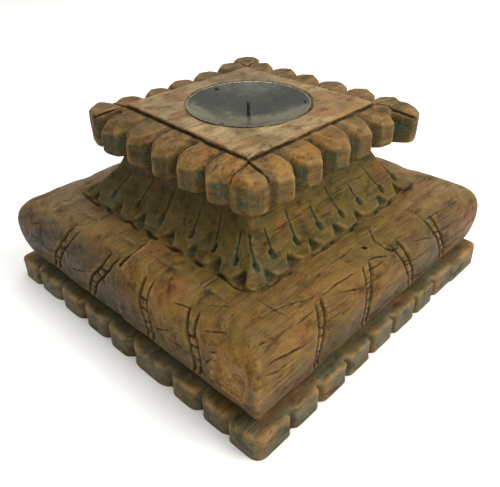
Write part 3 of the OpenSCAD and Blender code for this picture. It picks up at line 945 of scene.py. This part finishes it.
# what is left of the green paint, patchy and chalky
patchy = step(tree, spots(tree, place, (260, 200, 260), detail=5, rough=0.75), 0.38, 0.58)
paint_left = times(tree, paint_mask, maths(tree, "ADD", times(tree, patchy, 0.6), 0.4))
green_shade = coat(tree, step(tree, fibres, 0.4, 0.65), opaque(colour(30, 50, 40)),
                   opaque(colour(68, 90, 66)))
shade = coat(tree, times(tree, paint_left, 0.85), shade, green_shade)
# painted shade and dirt: the bottoms of cuts and cracks are painted nearly black
deep_shade_and_dirt = step(tree, cut_mask, 0.35, 1.0)
shade = coat(tree, times(tree, deep_shade_and_dirt, step(tree, paint_mask, 0.2, 0.9, 0.85, 0.35)), shade,
             opaque(colour(34, 24, 15)))
tree.links.new(shade, shader.inputs["Base Color"])
sheen = step(tree, grime, 0.4, 0.65, 0.46, 0.72)
dull_paint = times(tree, paint_left, 0.2)
tree.links.new(maths(tree, "ADD", sheen, dull_paint), shader.inputs["Roughness"])
shader.inputs["Specular IOR Level"].default_value = 0.16
relief = maths(tree, "ADD", times(tree, fibres, 0.5), times(tree, streaks, 0.6))
relief = maths(tree, "SUBTRACT", relief, times(tree, split_line, 0.9))
relief = maths(tree, "SUBTRACT", relief, times(tree, step(tree, grime, 0.5, 0.7), 0.25))
roughen(tree, shader, relief, 0.9, 0.001)

# ---- Parting the block into its two baulks ----------------------------------------------------
# The glue seam lies in the plane x = 0. Each half is a piece of its own, with its share of the
# hollow for the dish, the holes for the dish nails, and the blind holes for the two seam dowels.
DISH_MIDDLE = TOP_SHIFT.copy()
DISH_R, DISH_DEPTH, DISH_SHEET, RIM_Z = 43, 9.5, 1, 135.5
DISH_SPHERE = (DISH_R ** 2 + DISH_DEPTH ** 2) / (2 * DISH_DEPTH)    # radius of the ball it is part of
SEAT_GAP = 0.05
CLEAR_TOP = RIM_Z + 5   # where a cutter that comes down from above starts
POCKET_R, POCKET_H = 3.6, 1.5
DOWEL_R, DOWEL_LEN, DOWEL_REACH = 6.2, 80.4, 74
NAIL_ANGLES = (170, 48, 288)
NAIL_R, NAIL_LEN, NAIL_REACH = 0.9, 15, 39.8


def dish_z(radius):
    """Height of the dish's upper face."""
    return RIM_Z - DISH_DEPTH + DISH_SPHERE - math.sqrt(DISH_SPHERE ** 2 - radius ** 2)


def turned(name, profile, steps, centre=(0, 0, 0)):
    """A closed turned solid about an upright axis, from [radius, height] points, in millimetres."""
    bpy.ops.object.select_all(action="DESELECT")
    bpy.ops.mesh.primitive_circle_add(vertices=len(profile), radius=MM, fill_type="NOTHING")
    piece = bpy.context.object
    piece.name = name
    for vertex, (radius, height) in zip(piece.data.vertices, profile):
        vertex.co = (radius * MM, 0, height * MM)
    bpy.ops.object.mode_set(mode="EDIT")
    bpy.ops.mesh.select_all(action="SELECT")
    bpy.ops.mesh.delete(type="ONLY_FACE")
    bpy.ops.mesh.select_all(action="SELECT")
    bpy.ops.mesh.spin(steps=steps, angle=2 * math.pi, center=(0, 0, 0), axis=(0, 0, 1), dupli=False)
    bpy.ops.mesh.select_all(action="SELECT")
    bpy.ops.mesh.remove_doubles(threshold=0.00001)
    bpy.ops.mesh.dissolve_degenerate(threshold=0.00001)
    bpy.ops.mesh.select_all(action="SELECT")
    bpy.ops.mesh.normals_make_consistent(inside=False)
    bpy.ops.object.mode_set(mode="OBJECT")
    piece.location = Vector(centre) * MM
    settle(piece)
    return piece


seat_radii = [DISH_R * i / 12 for i in range(12, 0, -1)]
seat_profile = [(0, CLEAR_TOP), (DISH_R + 1.6, CLEAR_TOP), (DISH_R + 1.5, RIM_Z - 0.5),
                (DISH_R + 0.8, RIM_Z - DISH_SHEET)]
seat_profile += [(r, dish_z(r) - DISH_SHEET - SEAT_GAP) for r in seat_radii if r > POCKET_R]
pocket_top = dish_z(POCKET_R) - DISH_SHEET - SEAT_GAP
seat_profile += [(POCKET_R, pocket_top), (POCKET_R, pocket_top - POCKET_H), (0, pocket_top - POCKET_H)]
seat = turned("dish_seat", seat_profile, 96, DISH_MIDDLE)
# the hollow was cut by hand, so its edge wanders round the dish
for vertex in seat.data.vertices:
    spoke = vertex.co / MM - DISH_MIDDLE
    if spoke.xy.length > DISH_R + 0.7:
        turn = math.atan2(spoke.y, spoke.x)
        ragged = noise.noise(Vector((math.cos(turn), math.sin(turn), 0.3)) * 4)
        vertex.co.x += math.cos(turn) * ragged * 1.3 * MM
        vertex.co.y += math.sin(turn) * ragged * 1.3 * MM
cutter_parts = [seat]
for side in (-1, 1):
    hole = turned("dowel_hole", [(0, -DOWEL_LEN / 2), (DOWEL_R, -DOWEL_LEN / 2), (DOWEL_R, DOWEL_LEN / 2),
                                 (0, DOWEL_LEN / 2)], 40)
    hole.rotation_euler.y = math.pi / 2
    hole.location = Vector((0, side * DOWEL_REACH, BELLY)) * MM
    settle(hole)
    cutter_parts.append(hole)
nail_spots = [DISH_MIDDLE + Vector((math.cos(math.radians(a)), math.sin(math.radians(a)), 0)) * NAIL_REACH
              for a in NAIL_ANGLES]


def drill(name, bottom, spot):
    """The shape of a nail's hole, from its bottom to clear of the top."""
    return turned(name, [(0, bottom), (NAIL_R, bottom), (NAIL_R, CLEAR_TOP), (0, CLEAR_TOP)], 16, spot)


nail_holes = [drill("nail_hole", dish_z(NAIL_REACH) - NAIL_LEN, spot) for spot in nail_spots]


def smooth_round(piece, angle):
    """Shades a piece smooth, but for edges sharper than an angle in degrees."""
    only_select(piece)
    bpy.ops.object.shade_smooth_by_angle(angle=math.radians(angle))


# the block parts along the seam, and each half takes its share of the cuts
CUT_WOOD_AND_GAP_SHADE = colour(42, 32, 20)
halves = []
for name, side in (("left_half", -1), ("right_half", 1)):
    half = copy_of(block, name)
    saw_off(half, (0, 0, 0), (-side, 0, 0))
    halves.append(half)
bpy.data.objects.remove(block)
wood_cutter = join_all(cutter_parts, "wood_cutter")
nail_cutter = join_all(nail_holes, "nail_cutter")
for half in halves:
    for tool in (wood_cutter, nail_cutter):
        cut_away(half, copy_of(tool, "cutter"))
    # where a cut met the skin, the new points come without a colour, so they get a dark brown: bare wood with
    # painted shade for the gap round the dish
    layer = half.data.attributes["tint"]
    cut_tint = np.empty(len(half.data.vertices) * 4, np.float32)
    layer.data.foreach_get("color", cut_tint)
    cut_tint = cut_tint.reshape(-1, 4)
    cut_tint[cut_tint[:, :3].min(1) > 0.99] = (*CUT_WOOD_AND_GAP_SHADE, 1)
    layer.data.foreach_set("color", cut_tint.ravel())
    smooth_round(half, 38)
    half.data.materials.append(timber)
for tool in (wood_cutter, nail_cutter):
    bpy.data.objects.remove(tool)
left_half, right_half = halves
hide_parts("left_half_block")
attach(left_half, "root")
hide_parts("right_half_block")
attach(right_half, "root")

# ---- Seam dowels ------------------------------------------------------------------------------
# Two straight-grained pegs hold the seam. They are buried, so the frame's own cylinders stay.
peg_wood, tree, place, shader = new_finish("peg_wood")
peg_grain = spots(tree, place, (30, 500, 500), detail=4, rough=0.7)
tree.links.new(coat(tree, peg_grain, opaque(colour(196, 164, 118)), opaque(colour(150, 112, 70))),
               shader.inputs["Base Color"])
tree.links.new(step(tree, peg_grain, 0.3, 0.7, 0.5, 0.75), shader.inputs["Roughness"])
roughen(tree, shader, peg_grain, 0.4, 0.0003)
for name in ("front_seam_dowel", "back_seam_dowel"):
    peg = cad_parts[name]
    peg.data.materials.clear()
    peg.data.materials.append(peg_wood)

# ---- Dish -------------------------------------------------------------------------------------
# A round of thin sheet iron hammered over a hollow, so its face is faintly dimpled and its edge
# wavers. It is tarnished grey-green, and its bare edge, rubbed bright, carries a painted highlight.
DISH_RINGS = 60
dish_radii = [DISH_R * i / DISH_RINGS for i in range(DISH_RINGS + 1)]
EDGE = DISH_SHEET / 2
dish_profile = [(r, dish_z(r)) for r in dish_radii[:-1]]
dish_profile += [(DISH_R - 0.15, RIM_Z - 0.1), (DISH_R, RIM_Z - EDGE),
                 (DISH_R - 0.15, RIM_Z - DISH_SHEET + 0.1)]
dish_profile += [(r, dish_z(r) - DISH_SHEET) for r in reversed(dish_radii[:-1])]
dish = turned("hammered_dish", dish_profile, 128, DISH_MIDDLE)
dish_skin, _ = mesh_arrays(dish.data)
spokes = np.hypot(dish_skin[:, 0] - DISH_MIDDLE.x, dish_skin[:, 1] - DISH_MIDDLE.y)
dimples = np.array([noise.noise(Vector(p * (1, 1, 0)) / 6.5) * 0.10
                    + noise.noise(Vector(p * (1, 1, 0)) / 22) * 0.22 for p in dish_skin])
# it was hammered less towards the rim, and not at all under the spike
hammered = np.clip((DISH_R + 1 - spokes) / 8, 0.3, 1) * np.clip((spokes - 4) / 4, 0, 1)
dish_skin[:, 2] += dimples * hammered - 0.05
dish.data.vertices.foreach_set("co", (dish_skin * MM).ravel())
dish.data.update()
dish_holes = [drill("dish_hole", RIM_Z - 20, spot) for spot in nail_spots + [DISH_MIDDLE]]
cut_away(dish, join_all(dish_holes, "dish_holes"))
smooth_round(dish, 45)
tarnished, tree, place, shader = new_finish("tarnished_iron")
clouds = spots(tree, place, (45, 45, 45), detail=5, rough=0.65)
specks = spots(tree, place, (420, 420, 420), detail=4, rough=0.7)
scratches = spots(tree, place, (900, 70, 200), detail=2)
# the side towards the candle's draught went darker and bluer
draught = lay(tree, "ShaderNodeVectorMath", [(0, place), (1, (-12, 16, 0))],
              operation="DOT_PRODUCT").outputs["Value"]
draught = maths(tree, "ADD", draught, times(tree, clouds, 0.5))
bare = coat(tree, step(tree, draught, 0.3, 0.55), opaque(colour(124, 119, 93)), opaque(colour(69, 70, 64)))
bare = coat(tree, step(tree, clouds, 0.5, 0.62, 0, 0.55), bare, opaque(colour(60, 60, 56)))
bare = coat(tree, step(tree, specks, 0.52, 0.64, 0, 0.6), bare, opaque(colour(48, 46, 38)))
bare = coat(tree, step(tree, scratches, 0.64, 0.7, 0, 0.25), bare, opaque(colour(150, 148, 126)))
# the edge, rubbed by hands and candles, is bright, and carries a painted highlight
rim_middle = (DISH_MIDDLE.x * MM, DISH_MIDDLE.y * MM, RIM_Z * MM)
spoke = lay(tree, "ShaderNodeVectorMath", [(0, place), (1, rim_middle)],
            operation="DISTANCE").outputs["Value"]
on_rim = step(tree, spoke, (DISH_R - 0.9) * MM, (DISH_R - 0.3) * MM)
rim_highlight_and_wear = times(tree, on_rim, step(tree, specks, 0.6, 0.45, 0.2, 0.9))
bare = coat(tree, rim_highlight_and_wear, bare, opaque(colour(176, 172, 146)))
tree.links.new(bare, shader.inputs["Base Color"])
shader.inputs["Metallic"].default_value = 0.85
tree.links.new(step(tree, clouds, 0.3, 0.7, 0.28, 0.46), shader.inputs["Roughness"])
iron_relief = maths(tree, "ADD", times(tree, specks, 0.4), times(tree, scratches, 0.3))
roughen(tree, shader, iron_relief, 0.35, 0.0002)
dish.data.materials.append(tarnished)
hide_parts("dish")
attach(dish, "root")

# ---- Spike ------------------------------------------------------------------------------------
# A pin forged from square bar and drawn to a point, blackened by candles. Its flat head is
# trapped between the dish and the wood.
SPIKE_R = 1.25
SPIKE_TIP = 136
spike_foot = RIM_Z - DISH_DEPTH - DISH_SHEET - 1.4
head_profile = [(0, 0), (3.3, 0), (3.45, 0.2), (3.45, 1.0), (3.2, 1.25), (SPIKE_R + 0.1, 1.35), (SPIKE_R, 4)]
shank_profile = [(SPIKE_R, 129), (SPIKE_R * 0.97, 131), (SPIKE_R * 0.93, 133.2), (SPIKE_R * 0.8, 134.9),
                 (SPIKE_R * 0.45, 135.7), (0, SPIKE_TIP)]
spike_profile = [(r, spike_foot + z) for r, z in head_profile] + shank_profile
spike = turned("forged_spike", spike_profile, 24, DISH_MIDDLE)
for vertex in spike.data.vertices:
    spoke = vertex.co / MM - DISH_MIDDLE
    turn = math.atan2(spoke.y, spoke.x)
    if spoke.z > spike_foot + 3:
        # the round foot turns to a square shank above the dish, with a slight lean at the tip
        square = 0.86 + 0.16 * abs(math.cos(2 * turn)) ** 0.5 if spoke.z > 126 else 1.0
        drift = max(spoke.z - 128, 0) ** 1.6 * 0.012
        vertex.co.x = (DISH_MIDDLE.x + spoke.x * square - drift) * MM
        vertex.co.y = (DISH_MIDDLE.y + spoke.y * square) * MM
smooth_round(spike, 35)
blackened, tree, place, shader = new_finish("blackened_iron")
soot = spots(tree, place, (500, 500, 300), detail=5, rough=0.7)
tree.links.new(coat(tree, step(tree, soot, 0.4, 0.7), opaque(colour(30, 28, 26)), opaque(colour(78, 66, 54))),
               shader.inputs["Base Color"])
shader.inputs["Metallic"].default_value = 0.6
tree.links.new(step(tree, soot, 0.3, 0.7, 0.42, 0.7), shader.inputs["Roughness"])
roughen(tree, shader, soot, 0.5, 0.0002)
spike.data.materials.append(blackened)
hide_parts("spike")
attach(spike, "root")

# ---- Dish nails -------------------------------------------------------------------------------
# Three small wrought nails with hammered heads, through the dish near its edge.
HEAD_R, HEAD_H = 1.8, 0.6
seat_z = dish_z(NAIL_REACH)
nail_end = seat_z - NAIL_LEN
nail_profile = [(0, nail_end + 1), (0.35, nail_end + 1.2), (NAIL_R * 0.95, nail_end + 4),
                (NAIL_R * 0.95, seat_z), (HEAD_R * 0.94, seat_z), (HEAD_R, seat_z + 0.2),
                (HEAD_R * 0.86, seat_z + HEAD_H * 0.75), (HEAD_R * 0.5, seat_z + HEAD_H),
                (0, seat_z + HEAD_H * 1.02)]
for number, spot in enumerate(nail_spots, 1):
    nail = turned(f"wrought_nail_{number}", nail_profile, 20, spot)
    for vertex in nail.data.vertices:
        spoke = vertex.co / MM - spot
        if spoke.xy.length > NAIL_R:
            dent = 1 + noise.noise(Vector((spoke.x, spoke.y, number * 3.0)) * 0.7) * 0.16
            vertex.co.x = (spot.x + spoke.x * dent) * MM
            vertex.co.y = (spot.y + spoke.y * dent) * MM
    smooth_round(nail, 40)
    nail.data.materials.append(blackened)
    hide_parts(f"dish_nail_{number}")
    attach(nail, "root")

# ---- Floor, light and camera ------------------------------------------------------------------
# A plain white sheet on the floor, soft daylight all round and a large soft lamp on the right.
bpy.ops.object.select_all(action="DESELECT")
bpy.ops.mesh.primitive_plane_add(size=6, location=(0, 0, 0))
floor = bpy.context.object
floor.name = "floor"
sheet_white, tree, place, shader = new_finish("floor_sheet")
creases = spots(tree, place, (6, 9, 6), detail=3)
tree.links.new(coat(tree, creases, (0.86, 0.86, 0.85, 1), (0.9, 0.9, 0.885, 1)), shader.inputs["Base Color"])
shader.inputs["Roughness"].default_value = 0.9
floor.data.materials.append(sheet_white)

scene = bpy.context.scene
scene.view_settings.view_transform = "Standard"
scene.view_settings.look = "None"
sky = bpy.data.worlds.new("daylight")
scene.world = sky
sky.use_nodes = True
sky.node_tree.nodes["Background"].inputs["Color"].default_value = (1.0, 0.99, 0.97, 1)
sky.node_tree.nodes["Background"].inputs["Strength"].default_value = 0.75


def soft_lamp(name, place, size, power, warmth=(1, 1, 1)):
    data = bpy.data.lights.new(name, "AREA")
    data.size = size
    data.energy = power
    data.color = warmth
    lamp = bpy.data.objects.new(name, data)
    scene.collection.objects.link(lamp)
    lamp.location = place
    lamp.rotation_euler = (Vector((0, 0, 0.06)) - Vector(place)).to_track_quat("-Z", "Y").to_euler()


soft_lamp("window", (1.1, 0.5, 1.2), 0.9, 22, (1, 0.985, 0.95))
soft_lamp("overhead", (-0.1, 0.2, 1.5), 1.2, 12)

LENS, SENSOR = 40.9, 36
AZIMUTH, ELEVATION, ROLL = math.radians(44.29), math.radians(34.37), math.radians(-1.26)
DISTANCE = 0.4169
aim = Vector((0.0186, -0.01867, 0.04035))
back = Vector((math.sin(AZIMUTH) * math.cos(ELEVATION), -math.cos(AZIMUTH) * math.cos(ELEVATION),
               math.sin(ELEVATION)))
across = (-back).cross(Vector((0, 0, 1))).normalized()
upward = across.cross(-back)
tilt_x = across * math.cos(ROLL) + upward * math.sin(ROLL)
tilt_y = upward * math.cos(ROLL) - across * math.sin(ROLL)
camera_data = bpy.data.cameras.new("camera")
camera_data.lens, camera_data.sensor_width = LENS, SENSOR
camera_data.clip_start = 0.01
camera = bpy.data.objects.new("camera", camera_data)
scene.collection.objects.link(camera)
stand = Matrix((tilt_x, tilt_y, back)).transposed().to_4x4()
stand.translation = aim + back * DISTANCE
camera.matrix_world = stand
scene.camera = camera
